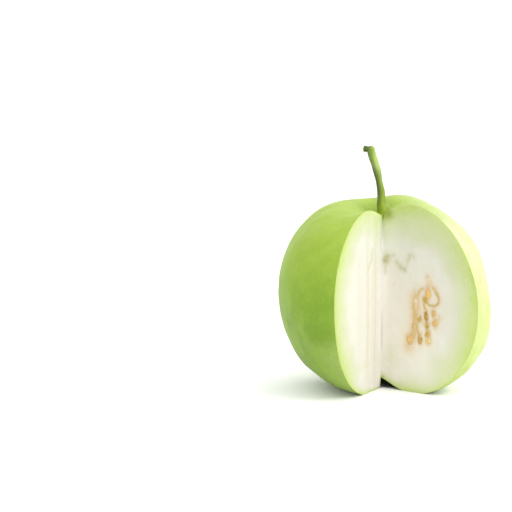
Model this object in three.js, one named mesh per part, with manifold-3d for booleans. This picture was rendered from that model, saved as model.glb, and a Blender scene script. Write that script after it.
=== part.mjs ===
// A round green guava with one wedge cut out of it, standing on its blossom end.
// Millimetres, +Z up. The two cuts meet in the core line, a vertical line through the fruit, and the
// shapes are worked out round that line. The group at the end moves it so that the middle of the
// object's footprint is the origin. The wedge gap faces -Y.

import * as THREE from "three";
import { mergeVertices } from "three/addons/utils/BufferGeometryUtils.js";
import Module from "manifold-3d";

const wasm = await Module();
wasm.setup();

// Where the core line stands, from the middle of the footprint
const CORE_X = -0.7;
const CORE_Y = -1.8;

// The fruit's round form: radius, height of the widest girth, rise above it and drop below it
const GIRTH = 42;
const GIRTH_Z = 40.2;
const RISE = 35.5;
const DROP = 41.9;

// How full its shoulders and its lower half are: 1 is an ellipse, less is squarer
const SHOULDER_FULLNESS = 0.93;
const BELLY_FULLNESS = 0.73;
const BLEND = 0.6;

// The soft lobes of the girth, [waves round the fruit, share of the radius, azimuth in degrees]
const SHOULDER_LOBES = [[1, 0.017, 170], [2, 0.024, -71], [3, 0.047, 23], [4, 0.063, 32]];
const BELLY_LOBES = [[1, 0.016, 41], [2, 0.017, -21], [3, 0.026, -16], [4, 0.047, -31]];

// How the shoulders and the blossom end rise and fall, [waves, millimetres, azimuth in degrees]
const TOP_WAVES = [[1, 1.3, 87], [2, 2.9, -80], [3, 2.5, 51.5]];
const END_WAVES = [[1, 1.35, 150], [2, 0.15, 60], [3, 0.3, -10]];
const WAVE_FADE = 9;

// The dimple at the stem end, its middle a little to the left of the core line
const DIMPLE = { x: -2.8, y: 1.6, depth: 9.3, width: 10.1, steepness: 1.5 };

// The hollow at the blossom end, round the core line: wider towards the right cut by the lean, and
// closing in the last degrees before the left cut, all the way in to the pole's small radius
const BASIN = { depth: 5.6, width: 7.1, lean: 0.5, steepness: 1.3, closing: 55, pole: 0.9 };

// The azimuths of the two cuts, in degrees, going round the back from the right cut to the left
const CUT_RIGHT = -38.5;
const CUT_LEFT = 241.5;

// The stem: its middle line from the root upwards, its radii as [height, radius], the rounding of its
// tip from a share of its length, and the cut twig at the tip
const STEM_LINE = [
  [1.5, 2.2, 65.0], [1.2, 2.4, 68.1], [0.7, 2.5, 69.5], [0.1, 2.6, 71.4], [-0.2, 2.75, 74.3],
  [-0.5, 2.9, 77.2], [-1.15, 3.1, 80.7], [-1.85, 3.3, 84.2], [-2.7, 3.5, 87.2], [-3.6, 3.6, 89.8],
  [-4.3, 3.7, 92.5], [-4.5, 3.7, 94.2],
];
const STEM_RADII = [
  [65.0, 2.2], [66.8, 2.9], [68.1, 3.1], [69.5, 2.7], [71.4, 2.1], [74.3, 1.65], [78.0, 1.45],
  [81.0, 1.3], [85.0, 1.6], [94.2, 1.6],
];
const ROUND_FROM = 0.95;
const ROUND_SHARE = 0.7;
const TWIG_LINE = [[-4.2, 3.7, 92.6], [-5.8, 3.6, 93.0], [-7.4, 3.5, 93.2]];
const TWIG_RADIUS = 0.9;
const TWIG_END_RADIUS = 1.15;

// The dried calyx in the hollow: a crown of lobes, as a share of the hollow's width, thick in the
// middle and thin at the rim
const CALYX_REACH = 0.62;
const CALYX_LOBES = 5;
const CALYX_NOTCH = 0.3;
const CALYX_THICK = 2.6;
const CALYX_THIN = 0.7;
const CALYX_FLOOR = 0.4;
const CALYX_INSET = 0.5;

// The seeds in the right cut face: [from the core, height, length, width, lean in degrees]
const SEEDS = [
  [21.1, 39.3, 5.0, 2.1, 0], [19.8, 36.6, 2.6, 2.3, 0], [23.7, 31.7, 3.0, 1.8, -20],
  [20.4, 30.6, 4.6, 1.9, -4], [17.4, 28.9, 2.8, 1.7, 0], [24.5, 28.1, 3.2, 2.1, 60],
  [20.8, 27.0, 3.2, 1.8, 0], [21.6, 23.3, 3.6, 1.8, 80], [21.4, 21.2, 3.0, 2.0, 0],
  [17.7, 21.3, 4.2, 1.9, -8], [13.2, 20.7, 3.8, 3.0, 0],
];
const SEED_DEPTH = 2.2;
const SEED_SINK = 0.4;

// The band that the seeds hang from and the strands to them: radius, then points [from the core, height]
const STRANDS = [
  [1.6, [15.4, 37.2], [15.4, 33.5], [15.6, 29.5], [15.4, 26], [14.8, 23], [13.5, 20], [12.7, 17.6]],
  [0.6, [16.2, 36.6], [16.8, 38.8], [18.4, 40.4], [20.6, 40.8]],
  [0.55, [20.9, 45.4], [22.3, 42.8], [24.1, 40.5], [25.7, 38], [25.8, 36], [24.4, 34.6], [22, 34.6],
    [19.8, 36.2]],
  [0.7, [19.8, 36.6], [19.5, 34.6], [20.3, 32], [20.6, 28.9], [20.8, 26], [21.3, 23.3], [21.4, 21]],
  [0.55, [22.3, 34.5], [23.9, 32], [25.9, 30.8], [26.4, 29.6], [24.5, 28.1], [22.6, 27.3], [20.8, 26.6]],
  [0.7, [15.6, 27], [16.6, 24.4], [17.4, 22.6], [17.9, 20.4]],
  [0.6, [15.8, 30.6], [17.4, 28.9], [18.8, 27.2], [20.8, 26.6]],
];
const STRAND_PROUD = 0.35;

// Clearance between a piece and what it sits in
const GAP = 0.3;

// How finely the surfaces are divided
const ROWS = 38;
const COLUMNS = 58;
const STEM_STEPS = 24;
const STEM_SIDES = 12;
const TWIG_STEPS = 4;
const STRAND_SIDES = 6;
const STRAND_STEP = 1.9;
const SEED_SIDES = 8;
const SEED_RINGS = 6;
const CALYX_ROWS = 4;
const CALYX_COLUMNS = 30;

const radians = THREE.MathUtils.degToRad;

// Closed geometry from points and triangles: shared points are merged and empty triangles dropped
function closedGeometry(positions, triangles) {
  const loose = new THREE.BufferGeometry();
  loose.setAttribute("position", new THREE.Float32BufferAttribute(positions, 3));
  loose.setIndex(triangles);
  const merged = mergeVertices(loose);
  const index = Array.from(merged.index.array);
  const kept = [];
  for (let i = 0; i < index.length; i += 3) {
    const [a, b, c] = index.slice(i, i + 3);
    if (a !== b && b !== c && c !== a) {
      kept.push(a, b, c);
    }
  }
  merged.setIndex(kept);
  return merged;
}

// The two triangles of each cell of a grid, facing the side from which rows go up and columns right
function gridTriangles(rows, columns, start = 0, flipped = false) {
  const triangles = [];
  const at = (row, column) => start + row * (columns + 1) + column;
  for (let row = 0; row < rows; row += 1) {
    for (let column = 0; column < columns; column += 1) {
      const a = at(row, column);
      const b = at(row, column + 1);
      const c = at(row + 1, column + 1);
      const d = at(row + 1, column);
      triangles.push(...(flipped ? [a, c, b, a, d, c] : [a, b, c, a, c, d]));
    }
  }
  return triangles;
}

function solid(geometry) {
  const bare = geometry.clone();
  bare.deleteAttribute("normal");
  bare.deleteAttribute("uv");
  const positions = Array.from(bare.attributes.position.array);
  const triangles = bare.index ? Array.from(bare.index.array) : [...Array(positions.length / 3).keys()];
  const merged = closedGeometry(positions, triangles);
  return new wasm.Manifold(new wasm.Mesh({
    numProp: 3,
    vertProperties: Float32Array.from(merged.attributes.position.array),
    triVerts: Uint32Array.from(merged.index.array),
  }));
}

function geometryOf(manifold) {
  const { vertProperties, triVerts } = manifold.getMesh();
  const geometry = new THREE.BufferGeometry();
  geometry.setAttribute("position", new THREE.BufferAttribute(vertProperties, 3));
  geometry.setIndex(new THREE.BufferAttribute(triVerts, 1));
  geometry.computeVertexNormals();
  return geometry;
}

// A round bar along a curve, with its own radius at each place and flat ends
function bar(curve, radiusAt, steps, sides) {
  const { normals, binormals } = curve.computeFrenetFrames(steps, false);
  const positions = [];
  for (let step = 0; step <= steps; step += 1) {
    const middle = curve.getPointAt(step / steps);
    const radius = radiusAt(middle, step / steps);
    for (let side = 0; side <= sides; side += 1) {
      const turn = (2 * Math.PI * (side % sides)) / sides;
      const point = middle.clone()
        .addScaledVector(normals[step], radius * Math.cos(turn))
        .addScaledVector(binormals[step], radius * Math.sin(turn));
      positions.push(...point.toArray());
    }
  }
  const triangles = gridTriangles(steps, sides);
  const first = positions.length / 3;
  const last = steps * (sides + 1);
  positions.push(...curve.getPointAt(0).toArray(), ...curve.getPointAt(1).toArray());
  for (let side = 0; side < sides; side += 1) {
    triangles.push(first, side + 1, side);
    triangles.push(first + 1, last + side, last + side + 1);
  }
  return solid(closedGeometry(positions, triangles));
}

const curveThrough = (points) => new THREE.CatmullRomCurve3(points.map((p) => new THREE.Vector3(...p)));

function waves(azimuth, table) {
  const wave = ([count, amount, at]) => amount * Math.cos(count * (azimuth - radians(at)));
  return table.reduce((sum, entry) => sum + wave(entry), 0);
}

function dimpleDepth(x, y) {
  const distance = Math.hypot(x - DIMPLE.x, y - DIMPLE.y);
  return DIMPLE.depth * Math.exp(-((distance / DIMPLE.width) ** DIMPLE.steepness));
}

const basinWidth = (azimuth) => BASIN.width * (1 + BASIN.lean * Math.cos(azimuth - radians(CUT_RIGHT)));

function basinDepth(distance, azimuth) {
  const before = radians(CUT_LEFT) - azimuth;
  const closed = 1 - THREE.MathUtils.smoothstep(before, 0, radians(BASIN.closing));
  const open = 1 - closed * THREE.MathUtils.smoothstep(distance, 0, BASIN.pole);
  return open * BASIN.depth * Math.exp(-((distance / basinWidth(azimuth)) ** BASIN.steepness));
}

// A point of the skin: latitude runs from the blossom end to the stem end, azimuth round the core
function skinPoint(latitude, azimuth) {
  const up = latitude >= 0;
  const sine = Math.sin(latitude);
  const cosine = Math.max(Math.cos(latitude), 0);
  const reach = GIRTH * cosine ** (up ? SHOULDER_FULLNESS : BELLY_FULLNESS);
  const shoulder = THREE.MathUtils.smoothstep(sine, -BLEND, BLEND);
  const lobes = shoulder * waves(azimuth, SHOULDER_LOBES) + (1 - shoulder) * waves(azimuth, BELLY_LOBES);
  const x = reach * (1 + lobes) * Math.cos(azimuth);
  const y = reach * (1 + lobes) * Math.sin(azimuth);
  const wave = (sine * reach) ** 2 / (reach ** 2 + WAVE_FADE ** 2);
  let z = GIRTH_Z + sine * (up ? RISE : DROP) + wave * waves(azimuth, up ? TOP_WAVES : END_WAVES);
  z += up ? -dimpleDepth(x, y) : basinDepth(Math.hypot(x, y), azimuth);
  return new THREE.Vector3(x, y, Math.max(z, 0));
}

// The skin with the wedge left out, closed by the two flat cut faces that meet in the core line
function fruitBody() {
  const positions = [];
  for (let row = 0; row <= ROWS; row += 1) {
    const latitude = (Math.PI / 2) * Math.sin((Math.PI / 2) * ((2 * row) / ROWS - 1));
    for (let column = 0; column <= COLUMNS; column += 1) {
      const azimuth = radians(THREE.MathUtils.lerp(CUT_RIGHT, CUT_LEFT, column / COLUMNS));
      positions.push(...skinPoint(latitude, azimuth).toArray());
    }
  }
  const triangles = gridTriangles(ROWS, COLUMNS);
  const core = positions.length / 3;
  positions.push(0, 0, GIRTH_Z);
  for (let row = 0; row < ROWS; row += 1) {
    const right = row * (COLUMNS + 1);
    const left = right + COLUMNS;
    triangles.push(core, right, right + COLUMNS + 1);
    triangles.push(core, left + COLUMNS + 1, left);
  }
  return solid(closedGeometry(positions, triangles));
}

// The radius at a height, on straight lines between the entries of a table
function radiusFrom(table, height) {
  const next = table.findIndex(([z]) => z > height);
  if (next < 1) {
    return table.at(next < 0 ? -1 : 0)[1];
  }
  const [[z0, radius0], [z1, radius1]] = table.slice(next - 1, next + 1);
  return THREE.MathUtils.mapLinear(height, z0, z1, radius0, radius1);
}

function stemBody(grow) {
  const radiusAt = ({ z }, along) => {
    const rounding = Math.sqrt(1 - THREE.MathUtils.smoothstep(along, ROUND_FROM, 1) * ROUND_SHARE);
    return radiusFrom(STEM_RADII, z) * rounding + grow;
  };
  const twigRadiusAt = (point, along) => THREE.MathUtils.lerp(TWIG_RADIUS, TWIG_END_RADIUS, along);
  const stalk = bar(curveThrough(STEM_LINE), radiusAt, STEM_STEPS, STEM_SIDES);
  return stalk.add(bar(curveThrough(TWIG_LINE), twigRadiusAt, TWIG_STEPS, STEM_SIDES));
}

// A place on the right cut face, pushed into the flesh by the depth
function onCutFace(along, height, depth) {
  const azimuth = radians(CUT_RIGHT);
  const inwards = azimuth + Math.PI / 2;
  return new THREE.Vector3(
    along * Math.cos(azimuth) + depth * Math.cos(inwards),
    along * Math.sin(azimuth) + depth * Math.sin(inwards),
    height,
  );
}

function seedBody(grow) {
  const strands = STRANDS.map(([radius, ...points]) => {
    const sink = radius - STRAND_PROUD;
    const curve = new THREE.CatmullRomCurve3(points.map(([along, z]) => onCutFace(along, z, sink)));
    const steps = Math.ceil(curve.getLength() / STRAND_STEP);
    return bar(curve, () => radius + grow, steps, STRAND_SIDES);
  });
  const seeds = SEEDS.map(([along, z, length, width, lean]) => {
    const seed = new THREE.SphereGeometry(1, SEED_SIDES, SEED_RINGS);
    seed.scale(width / 2 + grow, SEED_DEPTH / 2 + grow, length / 2 + grow);
    seed.rotateY(radians(lean));
    seed.rotateZ(radians(CUT_RIGHT));
    seed.translate(...onCutFace(along, z, SEED_SINK).toArray());
    return solid(seed);
  });
  return [...strands, ...seeds].reduce((whole, piece) => whole.add(piece));
}

// The height of the hollow's roof over a place on the floor, as if it closed nowhere
function hollowRoof(x, y) {
  const azimuth = Math.atan2(y, x);
  const reach = Math.hypot(x, y) / (1 + waves(azimuth, BELLY_LOBES));
  return skinPoint(-Math.acos((reach / GIRTH) ** (1 / BELLY_FULLNESS)), azimuth).z;
}

// The space from the left azimuth on to the right cut, as a prism whose corner lies behind the core
// line by the inset
function wedge(left, inset) {
  const middle = radians((CUT_RIGHT + left) / 2);
  const corner = new THREE.Vector2(Math.cos(middle), Math.sin(middle)).multiplyScalar(inset);
  const outline = new THREE.Shape();
  outline.moveTo(corner.x, corner.y);
  for (const cut of [radians(left), radians(CUT_RIGHT + 360)]) {
    outline.lineTo(corner.x + 2 * GIRTH * Math.cos(cut), corner.y + 2 * GIRTH * Math.sin(cut));
  }
  return solid(new THREE.ExtrudeGeometry(outline, { depth: 2 * GIRTH, bevelEnabled: false }));
}

// A lobed crown hanging from the roof of the hollow, in the part that stays open
function calyxBody() {
  const upper = [];
  const lower = [];
  for (let row = 0; row <= CALYX_ROWS; row += 1) {
    const share = row / CALYX_ROWS;
    for (let column = 0; column <= CALYX_COLUMNS; column += 1) {
      const turn = (2 * Math.PI * (column % CALYX_COLUMNS)) / CALYX_COLUMNS;
      const lobe = Math.abs(Math.cos((CALYX_LOBES * turn) / 2));
      const distance = share * CALYX_REACH * basinWidth(turn) * (1 - CALYX_NOTCH * (1 - lobe));
      const x = distance * Math.cos(turn);
      const y = distance * Math.sin(turn);
      const top = hollowRoof(x, y) - GAP;
      const thickness = THREE.MathUtils.lerp(CALYX_THICK, CALYX_THIN, share);
      upper.push(x, y, top);
      lower.push(x, y, Math.max(top - thickness, CALYX_FLOOR));
    }
  }
  const count = upper.length / 3;
  const triangles = [
    ...gridTriangles(CALYX_ROWS, CALYX_COLUMNS, 0, true),
    ...gridTriangles(CALYX_ROWS, CALYX_COLUMNS, count),
  ];
  const rim = CALYX_ROWS * (CALYX_COLUMNS + 1);
  for (let column = 0; column < CALYX_COLUMNS; column += 1) {
    const a = rim + column + 1;
    const b = rim + column;
    triangles.push(a, b, b + count, a, b + count, a + count);
  }
  const crown = solid(closedGeometry([...upper, ...lower], triangles));
  return crown.subtract(wedge(CUT_LEFT - BASIN.closing, CALYX_INSET));
}

function mesh(name, manifold, color, roughness) {
  const material = new THREE.MeshStandardMaterial({ color, roughness, metalness: 0 });
  const piece = new THREE.Mesh(geometryOf(manifold), material);
  piece.name = name;
  return piece;
}

const guava = new THREE.Group();
guava.name = "guava";
guava.position.set(CORE_X, CORE_Y, 0);
guava.add(
  mesh("fruit", fruitBody().subtract(stemBody(GAP)).subtract(seedBody(GAP)), 0xb6d56b, 0.45),
  mesh("stem", stemBody(0).subtract(wedge(CUT_LEFT, 0)), 0x8fa63f, 0.6),
  mesh("calyx", calyxBody(), 0x3a2a17, 0.9),
  mesh("seeds", seedBody(0), 0xd9b06a, 0.6),
);

export default guava;
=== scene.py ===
"""The looks of a green guava with one wedge cut out of it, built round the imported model.

Lengths are metres and +Z is up. The two cuts meet in the core line, a vertical line through the
fruit. Shapes are worked out round that line, and moved to CORE when their meshes are made.
"""

import math

import bmesh
import bpy
import numpy as np
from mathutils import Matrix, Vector


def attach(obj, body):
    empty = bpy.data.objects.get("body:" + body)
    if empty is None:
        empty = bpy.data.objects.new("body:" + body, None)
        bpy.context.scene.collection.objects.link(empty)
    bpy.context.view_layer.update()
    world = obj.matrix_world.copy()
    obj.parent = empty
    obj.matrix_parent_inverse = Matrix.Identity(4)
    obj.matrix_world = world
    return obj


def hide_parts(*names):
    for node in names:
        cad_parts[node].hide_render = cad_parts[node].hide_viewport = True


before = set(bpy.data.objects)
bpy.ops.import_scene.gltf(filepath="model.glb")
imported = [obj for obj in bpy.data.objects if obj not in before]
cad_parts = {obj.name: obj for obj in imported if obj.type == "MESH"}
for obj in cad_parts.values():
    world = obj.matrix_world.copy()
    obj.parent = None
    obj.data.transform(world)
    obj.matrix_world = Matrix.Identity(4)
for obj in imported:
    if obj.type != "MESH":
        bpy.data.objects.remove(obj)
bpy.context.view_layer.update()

MM = 0.001
CORE = np.array([-0.7, -1.8, 0.0]) * MM

# The fruit's form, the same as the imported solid's: its radius and the height where it is widest, how
# far it goes up and down from there, how full shoulders and belly are, and what makes it uneven
GIRTH = 42 * MM
GIRTH_Z = 40.2 * MM
RISE = 35.5 * MM
DROP = 41.9 * MM
SHOULDER_FULLNESS = 0.93
BELLY_FULLNESS = 0.73
BLEND = 0.6
SHOULDER_LOBES = ((1, 0.017, 170), (2, 0.024, -71), (3, 0.047, 23), (4, 0.063, 32))
BELLY_LOBES = ((1, 0.016, 41), (2, 0.017, -21), (3, 0.026, -16), (4, 0.047, -31))
TOP_WAVES = ((1, 1.3 * MM, 87), (2, 2.9 * MM, -80), (3, 2.5 * MM, 51.5))
END_WAVES = ((1, 1.35 * MM, 150), (2, 0.15 * MM, 60), (3, 0.3 * MM, -10))
WAVE_FADE = 9 * MM
TOP_Z = 75 * MM
CUT_RIGHT = math.radians(-38.5)
CUT_LEFT = math.radians(241.5)

# The dimple at the stem end: its middle, depth, width and steepness
DIMPLE_X = -2.8 * MM
DIMPLE_Y = 1.6 * MM
DIMPLE_DEPTH = 9.3 * MM
DIMPLE_WIDTH = 10.1 * MM
DIMPLE_STEEPNESS = 1.5

# The hollow at the blossom end: wider towards the right cut, and closing before the left cut
BASIN_DEPTH = 5.6 * MM
BASIN_WIDTH = 7.1 * MM
BASIN_LEAN = 0.5
BASIN_STEEPNESS = 1.3
BASIN_CLOSING = math.radians(55)
BASIN_POLE = 0.9 * MM

# The stem: its middle line from the root upwards, its radii by height, and the cut twig at its tip
STEM_LINE = np.array([
    [1.5, 2.2, 65.0], [1.2, 2.4, 68.1], [0.7, 2.5, 69.5], [0.1, 2.6, 71.4], [-0.2, 2.75, 74.3],
    [-0.5, 2.9, 77.2], [-1.15, 3.1, 80.7], [-1.85, 3.3, 84.2], [-2.7, 3.5, 87.2], [-3.6, 3.6, 89.8],
    [-4.3, 3.7, 92.5], [-4.5, 3.7, 94.2],
]) * MM
STEM_RADII = np.array([
    [65.0, 2.2], [66.8, 2.9], [68.1, 3.1], [69.5, 2.7], [71.4, 2.1], [74.3, 1.65], [78.0, 1.45],
    [81.0, 1.3], [85.0, 1.6], [94.2, 1.6],
]) * MM
TWIG_LINE = np.array([[-4.2, 3.7, 92.6], [-5.8, 3.6, 93.0], [-7.4, 3.5, 93.2]]) * MM
TWIG_RADIUS = 0.9 * MM
TWIG_END_RADIUS = 1.15 * MM
STEM_RELIEF = 0.042 * MM
STEM_PROUD = 0.04 * MM

# The olive tint of the stem's foot, its spread to the right, and the faint flush of the skin beyond
FOOT_TINT = 0.9
FOOT_REACH = 3.2 * MM
SPREAD = np.array([2.4, -1.0, 68.6]) * MM
SPREAD_TINT = 0.95
SPREAD_REACH = 2.5 * MM
FLUSH = np.array([5.0, 0.5, 71.0]) * MM
FLUSH_TINT = 0.35
FLUSH_REACH = 6 * MM

# Other tints by place, some with painted light or shade: the reach of the core's warm tone and painted
# light, the paler skin beside the left cut, and the blossom end's dark brown, deepened by painted
# shade in the hollow
CORE_REACH = 22 * MM
LEFT_CUT_PALENESS = 0.3
LEFT_CUT_REACH = 7 * MM
BLOSSOM_BROWN_AND_SHADE = 0.9
BLOSSOM_SHARE = 0.8

# The dried calyx in the hollow underneath; its reach is a share of the hollow's width
CALYX_REACH = 0.62
CALYX_LOBES = 5
CALYX_NOTCH = 0.3
CALYX_BLUNTNESS = 0.7
CALYX_THICK = 2.6 * MM
CALYX_THIN = 0.7 * MM
CALYX_LEAST = 0.3 * MM
CALYX_SUNK = 0.1 * MM
CALYX_FLOOR = 0.4 * MM
CALYX_INSET = math.radians(4)
CALYX_ROUGHNESS = 0.2 * MM
CALYX_FOLDS = 0.25 * MM
CALYX_FOLD_COUNT = 15

# Seeds on the right cut face, in millimetres: from the core, height, length, width. Then their lean
# in degrees and their tint
SEEDS = (
    (21.1, 39.3, 5.0, 2.1, 0, 0.75), (19.8, 36.6, 2.6, 2.3, 0, 0.25), (23.7, 31.7, 3.0, 1.8, -20, 0.4),
    (20.4, 30.6, 4.6, 1.9, -4, 0.0), (17.4, 28.9, 2.8, 1.7, 0, 0.3), (24.5, 28.1, 3.2, 2.1, 60, 0.6),
    (20.8, 27.0, 3.2, 1.8, 0, 0.15), (21.6, 23.3, 3.6, 1.8, 80, 0.35), (21.4, 21.2, 3.0, 2.0, 0, 0.95),
    (17.7, 21.3, 4.2, 1.9, -8, 0.1), (13.2, 20.7, 3.8, 3.0, 0, 0.8),
)
SEED_DEPTH = 2.2 * MM
SEED_SINK = 0.65 * MM
SEED_SWELL = 1.12
SEED_LUMPS = 0.11
SEED_LUMP_SIZE = 0.55
SEED_TAPER = 0.24

# The band that the seeds hang from and the strands to them, in millimetres: radius, then points from
# the core and up
STRANDS = (
    (1.6, (15.4, 37.2), (15.4, 33.5), (15.6, 29.5), (15.4, 26), (14.8, 23), (13.5, 20), (12.7, 17.6)),
    (0.6, (16.2, 36.6), (16.8, 38.8), (18.4, 40.4), (20.6, 40.8)),
    (0.55, (20.9, 45.4), (22.3, 42.8), (24.1, 40.5), (25.7, 38), (25.8, 36), (24.4, 34.6), (22, 34.6),
     (19.8, 36.2)),
    (0.7, (19.8, 36.6), (19.5, 34.6), (20.3, 32), (20.6, 28.9), (20.8, 26), (21.3, 23.3), (21.4, 21)),
    (0.55, (22.3, 34.5), (23.9, 32), (25.9, 30.8), (26.4, 29.6), (24.5, 28.1), (22.6, 27.3),
     (20.8, 26.6)),
    (0.7, (15.6, 27), (16.6, 24.4), (17.4, 22.6), (17.9, 20.4)),
    (0.6, (15.8, 30.6), (17.4, 28.9), (18.8, 27.2), (20.8, 26.6)),
)

# For each strand: how pale it is, how much paler at its start, and how olive towards its end
STRAND_PALENESS = (0.15, 0.3, 0.2, 0.1, 0.6, 0.15, 0.75)
STRAND_FADES = (0.5, 0.1, 0.7, 0.0, 0.0, 0.0, 0.0)
STRAND_OLIVE = (0.1, 0.2, 0.75, 0.5, 0.1, 0.5, 0.0)

# What the strands have in common: how far they stand proud of the face, the steps along them, and
# how uneven they are
STRAND_PROUD = 0.14 * MM
STRAND_STEP = 0.35 * MM
STRAND_LEAST_STEPS = 16
STRAND_SWELL = 1.08
STRAND_WOBBLE = 0.12
STRAND_DENTS = 0.05 * MM
FACE_OUTWARDS = np.array([math.sin(CUT_RIGHT), -math.cos(CUT_RIGHT), 0])

# The tan stain of the flesh and the warm halo round it, at the band, the other strands and the
# seeds. The band is the strand that is thicker than this radius
BAND_RADIUS = 1 * MM
BAND_STAIN = 0.75
BAND_HALO = 0.9
STRAND_STAIN = 0.7
STRAND_HALO = 0.45
STAIN_REACH = 0.3 * MM
HALO_REACH = 1.8 * MM
SEED_STAIN = 0.8
SEED_STAIN_SHARE = 0.74
SEED_HALO = 0.7
SEED_HALO_SHARE = 1.25

# The smudge under the band's lower end: its middle and reach, from the core and up, its strengths,
# and the share of the stain that is left so far down
TAIL = np.array([12.6, 18.0]) * MM
TAIL_REACH = np.array([1.6, 3.2]) * MM
TAIL_STAIN = 0.12
TAIL_HALO = 0.75
LOW_STAIN = 0.3

# Veins that the cuts crossed, in millimetres: width, strength, then points from the core and up
RIGHT_VEINS = (
    (1.9, 0.8, (2.2, 51.2), (1.6, 50.2)),
    (1.0, 0.35, (2.6, 51.6), (5.4, 52.6)),
    (0.9, 0.4, (1.6, 49.5), (1.4, 45.5)),
    (1.2, 0.45, (6.8, 50.0), (8.4, 48.6)),
    (1.1, 0.6, (8.6, 48.2), (10.8, 47.2)),
    (0.8, 0.3, (10.8, 47.4), (11.6, 49.4), (12.0, 51.0)),
    (1.1, 0.45, (12.6, 53.0), (12.0, 51.4)),
    (1.0, 0.3, (13.4, 53.2), (14.4, 52.6)),
)
LEFT_VEINS = ((0.8, 0.35, (9.4, 55.2), (10.2, 51.0), (12.4, 48.4)),)

# A patch of painted shade on the flesh beside the seeds: its middle and reach, from the core and up,
# and its strength
SHADE_PATCH_PLACE = np.array([30.0, 26.0]) * MM
SHADE_PATCH_REACH = np.array([7.0, 13.0]) * MM
SHADE_PATCH_STRENGTH = 0.09

# How far the green of the rind reaches into the flesh, and how much painted shade dims the two faces
RIND_REACH = 13 * MM
RIGHT_SHADE = 0.12
LEFT_SHADE = 0.07

# What is worked out for the cut faces alone
FACE_KEYS = ("rind", "stain", "halo", "vein", "ridge_shade", "shade")

# Painted shade along the ridges that the knife left down the left cut face: from the core and width in
# millimetres, strength
RIDGE_SHADE_LINES = ((6.7, 0.7, 0.5), (8.9, 0.6, 0.25), (13.2, 0.9, 0.4), (21.0, 1.2, 0.12), (4.6, 0.4, 0.1))

# Relief of the cut faces: grain, swellings, the step beside the core, ridges and marks of the knife.
# The waves of ridges and marks are given by the radian
FACE_GRAIN = 0.05 * MM
FACE_SWELLING = 0.12 * MM
FACE_STEP = 0.25 * MM
RIDGES = 0.13 * MM
RIDGE_WAVE = 1.25 * MM
MARKS = 0.05 * MM
MARK_WAVE = 1.7 * MM

# Relief of the skin: broad and fine swellings
SKIN_BROAD = 0.16 * MM
SKIN_FINE = 0.05 * MM

# How finely the surfaces are divided, and how near points are welded
ROWS = 230
SKIN_COLUMNS = 180
FACE_COLUMNS = 110
FACE_CROWDING = 0.9
OUTLINE_STEPS = 6001
CURVE_STEPS = 24
RIPPLE_WAVES = 28
STEM_STEPS = 130
STEM_SIDES = 44
TWIG_STEPS = 30
TWIG_SIDES = 32
STRAND_SIDES = 18
STAIN_STEPS = 30
CALYX_ROWS = 30
CALYX_COLUMNS = 130
SEED_ROWS = 18
SEED_COLUMNS = 28
WELD = 5e-7
TINY = 1e-18

# The camera: the photograph's frame, where the fruit's middle stands in it, and the lens
FRAME_PIXELS = 512
FRUIT_X_PIXELS = 381.8
FRUIT_Y_PIXELS = 288.7
FOCAL_PIXELS = 1544
CAMERA_ELEVATION = math.radians(7)
CAMERA_DISTANCE = 0.6
AIM_Z = 39 * MM
SENSOR = 36

# The light: the white room, how dim its left side is, and the lamps with their power in watts
ROOM_LIGHT = 1.4
DIM_SIDE = 1.12
KEY_PLACE = (0.55, -0.35, 0.55)
KEY_POWER = 2.7
RIM_PLACE = (0.5, 0.45, 0.3)
RIM_POWER = 1.0
LAMP_SIZE = 0.4
LAMP_TARGET = (0, 0, 0.04)

# How bright a surface shows that reflects all light, and the most that a base colour reflects
SURFACE_LIGHT = 1.18
MOST_REFLECTED = 0.97

# Places of the sockets of a node that mixes colours
MIX_FACTOR = 0
MIX_FIRST = 6
MIX_SECOND = 7
MIX_RESULT = 2


def smooth(x, low, high):
    """A soft step from 0 at low to 1 at high."""
    t = np.clip((x - low) / (high - low), 0, 1)
    return t * t * (3 - 2 * t)


def waves(azimuth, table):
    """The sum of a table's waves round the core line: count, amount, and where each is highest."""
    return sum(amount * np.cos(count * (azimuth - math.radians(at))) for count, amount, at in table)


def dimple_depth(x, y):
    distance = np.hypot(x - DIMPLE_X, y - DIMPLE_Y)
    return DIMPLE_DEPTH * np.exp(-((distance / DIMPLE_WIDTH) ** DIMPLE_STEEPNESS))


def basin_width(azimuth):
    return BASIN_WIDTH * (1 + BASIN_LEAN * np.cos(azimuth - CUT_RIGHT))


def basin_depth(distance, azimuth):
    closed = 1 - smooth(CUT_LEFT - azimuth, 0, BASIN_CLOSING)
    opened = 1 - closed * smooth(distance, 0, BASIN_POLE)
    return opened * BASIN_DEPTH * np.exp(-((distance / basin_width(azimuth)) ** BASIN_STEEPNESS))


def skin_points(latitude, azimuth):
    """Points of the skin; latitude runs from the blossom end to the stem end."""
    up = latitude >= 0
    sine = np.sin(latitude)
    cosine = np.maximum(np.cos(latitude), 0)
    reach = GIRTH * np.where(up, cosine**SHOULDER_FULLNESS, cosine**BELLY_FULLNESS)
    shoulder = smooth(sine, -BLEND, BLEND)
    lobes = shoulder * waves(azimuth, SHOULDER_LOBES) + (1 - shoulder) * waves(azimuth, BELLY_LOBES)
    x = reach * (1 + lobes) * np.cos(azimuth)
    y = reach * (1 + lobes) * np.sin(azimuth)
    wave = (sine * reach) ** 2 / (reach**2 + WAVE_FADE**2)
    z = GIRTH_Z + sine * np.where(up, RISE, DROP)
    z = z + wave * np.where(up, waves(azimuth, TOP_WAVES), waves(azimuth, END_WAVES))
    z = z + np.where(up, -dimple_depth(x, y), basin_depth(np.hypot(x, y), azimuth))
    return np.stack([x, y, np.maximum(z, 0)], -1)


def even_latitudes(count, azimuth):
    """Latitudes that divide the skin's outline into equal steps."""
    fine = np.linspace(-math.pi / 2, math.pi / 2, OUTLINE_STEPS)
    steps = np.linalg.norm(np.diff(skin_points(fine, np.full_like(fine, azimuth)), axis=0), axis=1)
    travelled = np.concatenate([[0], np.cumsum(steps)])
    return np.interp(np.linspace(0, travelled[-1], count + 1), travelled, fine)


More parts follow.
